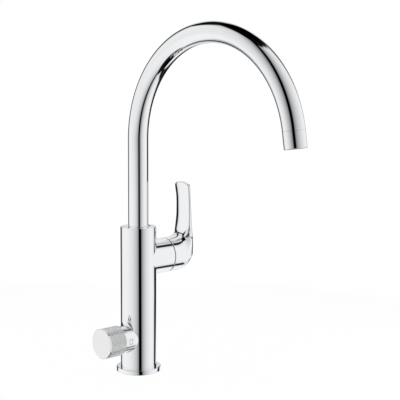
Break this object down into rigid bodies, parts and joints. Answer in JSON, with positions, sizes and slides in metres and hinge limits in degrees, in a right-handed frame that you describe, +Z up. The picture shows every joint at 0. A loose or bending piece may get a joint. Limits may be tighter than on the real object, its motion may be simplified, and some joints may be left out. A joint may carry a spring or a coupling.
{
  "type": "kitchen mixer tap",
  "caption": "Tall kitchen mixer tap with a swivelling C-shaped spout, an upright side lever for mixed water and a fluted side knob for filtered water.",
  "frame": {"origin": "on the body's axis, on the worktop's top surface", "axes": "+Z up; the spout points to -Y at rest, the lever is on +X and the filter knob is on -X"},
  "size_m": [0.1239, 0.2588, 0.4416],
  "materials": {
    "polished_chrome": "mirror-polished chrome plate on brass",
    "satin_chrome": "satin chrome with fine flutes",
    "face_chrome": "fine-turned satin chrome",
    "bare_brass": "machined",
    "stainless_steel": "machined",
    "black_rubber": "matt",
    "white_acetal": "moulded",
    "clear_hose": "extruded",
    "grey_plastic": "moulded",
    "white_ceramic": "lapped ceramic"
  },
  "bodies": {
    "body": {"base_ring": "polished_chrome", "base_seal": "black_rubber", "fixing_stud": "stainless_steel", "clamp_washer": "black_rubber", "clamp_plate": "stainless_steel", "clamp_nut": "stainless_steel", "lower_body": "polished_chrome", "upper_body": "polished_chrome", "body_seal": "black_rubber", "waterway_seals": "black_rubber", "body_lock_screw": "stainless_steel", "filter_riser": "stainless_steel", "spout_slide_bushes": "white_acetal", "spout_stop_screw": "stainless_steel", "cartridge_seals": "black_rubber", "cartridge_housing": "white_acetal", "mixer_fixed_disc": "white_ceramic", "cartridge_collar": "white_acetal", "cartridge_nut": "bare_brass", "lever_dome": "polished_chrome", "filter_seat_seal": "black_rubber", "filter_fixed_disc": "white_ceramic", "filter_valve_body": "bare_brass"},
    "spout": {"spout_tube": "polished_chrome", "spout_foot": "bare_brass", "spout_seals": "black_rubber", "riser_seal": "black_rubber", "filter_hose": "clear_hose", "outlet_sleeve": "polished_chrome", "outlet_seal": "black_rubber", "aerator_insert": "grey_plastic"},
    "turret": {"cartridge_turret": "white_acetal", "turret_pin": "stainless_steel"},
    "lever": {"lever_handle": "polished_chrome", "lever_stem": "stainless_steel", "lever_screw": "stainless_steel", "lever_plug": "grey_plastic"},
    "mixing_disc": {"mixer_moving_disc": "white_ceramic", "disc_carrier": "white_acetal"},
    "knob": {"filter_knob": "satin_chrome", "filter_knob_face": "face_chrome", "knob_carrier": "white_acetal", "knob_screw": "stainless_steel", "filter_spindle": "bare_brass", "spindle_seal": "black_rubber", "spindle_clip": "stainless_steel", "filter_turning_disc": "white_ceramic"}
  },
  "joints": [
    {"name": "spout_swivel", "type": "hinge", "parent": "body", "child": "spout", "pos_m": [0, 0, 0.1595], "axis": [0, 0, 1], "range_deg": [-75, 75]},
    {"name": "lever_turn", "type": "hinge", "parent": "body", "child": "turret", "pos_m": [0.02815, 0, 0.1236], "axis": [1, 0, 0], "range_deg": [-45, 45]},
    {"name": "lever_tilt", "type": "hinge", "parent": "turret", "child": "lever", "pos_m": [0.02815, 0, 0.1236], "axis": [0, 1, 0], "range_deg": [0, 25]},
    {"name": "disc_slide", "type": "slide", "parent": "turret", "child": "mixing_disc", "axis": [0, 0, 1], "range_m": [0, 0.0019]},
    {"name": "knob_turn", "type": "hinge", "parent": "body", "child": "knob", "pos_m": [-0.05245, 0, 0.0378], "axis": [-1, 0, 0], "range_deg": [0, 90]}
  ],
  "couplings": [
    {"joint": "disc_slide", "follows": "lever_tilt", "m_per_rad": 0.00431}
  ]
}
